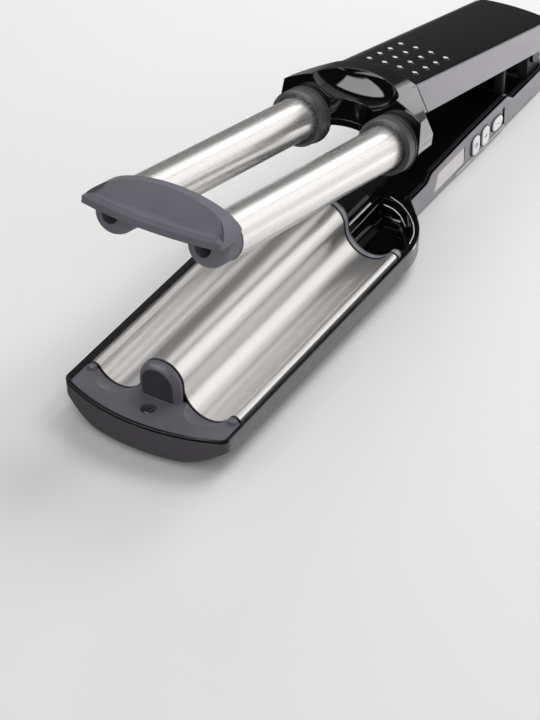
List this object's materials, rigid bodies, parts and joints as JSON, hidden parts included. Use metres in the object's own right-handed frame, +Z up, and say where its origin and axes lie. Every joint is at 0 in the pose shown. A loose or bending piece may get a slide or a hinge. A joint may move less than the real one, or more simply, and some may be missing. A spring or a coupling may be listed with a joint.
{
  "type": "hair waver",
  "caption": "Handheld hair waver: round heated barrels on a sprung, hinged upper arm close onto a wavy heated plate; display window and side buttons in the handle.",
  "frame": {"origin": "centre of the footprint box on the table plane, under the lower arm, which lies flat", "axes": "+X from the nose to the cord end, +Z up, +Y to the side away from the display window"},
  "size_m": [0.38, 0.09, 0.1251],
  "materials": {
    "shell": "silver paint on the handle, dark grey on the jaw",
    "rim": "gloss",
    "plate": "satin brushed",
    "guard": "fine grain",
    "steel": "bright",
    "gloss_black": "gloss",
    "heater": "ceramic white",
    "clamp": "mill finish",
    "sensor": "ceramic",
    "post": "matte",
    "window": "smoked clear",
    "lcd": "grey-green",
    "button": "silver paint",
    "board": "solder mask",
    "switch": "bright",
    "terminal": "matte",
    "gland": "matte",
    "bracket": "matte",
    "cap": "gloss",
    "barrel": "satin brushed",
    "collar": "fine grain",
    "tip": "fine grain",
    "silver": "satin silver paint",
    "inner_black": "matte"
  },
  "bodies": {
    "lower_arm": {"lower_shell": "shell", "jaw_rim": "rim", "wave_plate": "plate", "nose_guard": "guard", "nose_screw": "steel", "plate_end_band": "guard", "rear_guard": "gloss_black", "rear_guard_screws": "steel", "plate_heaters": "heater", "heater_clamps": "clamp", "plate_sensor": "sensor", "thermal_fuse": "sensor", "lower_cover": "gloss_black", "base_screws": "steel", "stop_post": "post", "display_window": "window", "lcd_module": "lcd", "control_board": "board", "tact_switches": "switch", "terminal_block": "terminal", "hinge_bracket": "bracket", "hinge_pin": "steel", "hinge_caps": "cap"},
    "upper_arm": {"barrel_left": "barrel", "barrel_right": "barrel", "collar_left": "collar", "collar_right": "collar", "heater_shoes_left": "clamp", "heater_shoes_right": "clamp", "barrel_heater_left": "heater", "barrel_heater_right": "heater", "barrel_insert_left": "sensor", "barrel_insert_right": "sensor", "tip_cap": "tip", "tip_screws": "steel", "hood_top": "gloss_black", "hood_lower": "gloss_black", "hood_screws": "steel", "upper_shell": "gloss_black", "upper_trim_left": "silver", "upper_trim_right": "silver", "upper_cover": "inner_black", "hinge_block": "inner_black"},
    "power_button": {"button_power": "button"},
    "mode_button": {"button_mode": "button"},
    "set_button": {"button_set": "button"},
    "cord_swivel": {"cord_gland": "gland", "gland_nut": "gland"}
  },
  "joints": [
    {"name": "arm_hinge", "type": "hinge", "parent": "lower_arm", "child": "upper_arm", "pos_m": [0.17, 0, 0.02464], "axis": [0, -1, 0], "range_deg": [0, 14.17], "stiffness_Nm_per_rad": 1.5, "springref_deg": -34.38},
    {"name": "power_press", "type": "slide", "parent": "lower_arm", "child": "power_button", "axis": [0, 1, 0], "range_m": [0, 0.0005], "stiffness_N_per_m": 400, "springref_m": -0.001},
    {"name": "mode_press", "type": "slide", "parent": "lower_arm", "child": "mode_button", "axis": [0, 1, 0], "range_m": [0, 0.0005], "stiffness_N_per_m": 400, "springref_m": -0.001},
    {"name": "set_press", "type": "slide", "parent": "lower_arm", "child": "set_button", "axis": [0, 1, 0], "range_m": [0, 0.0005], "stiffness_N_per_m": 400, "springref_m": -0.001},
    {"name": "cord_turn", "type": "hinge", "parent": "lower_arm", "child": "cord_swivel", "pos_m": [0.184, 0, 0.0084], "axis": [1, 0, 0], "continuous": true}
  ]
}
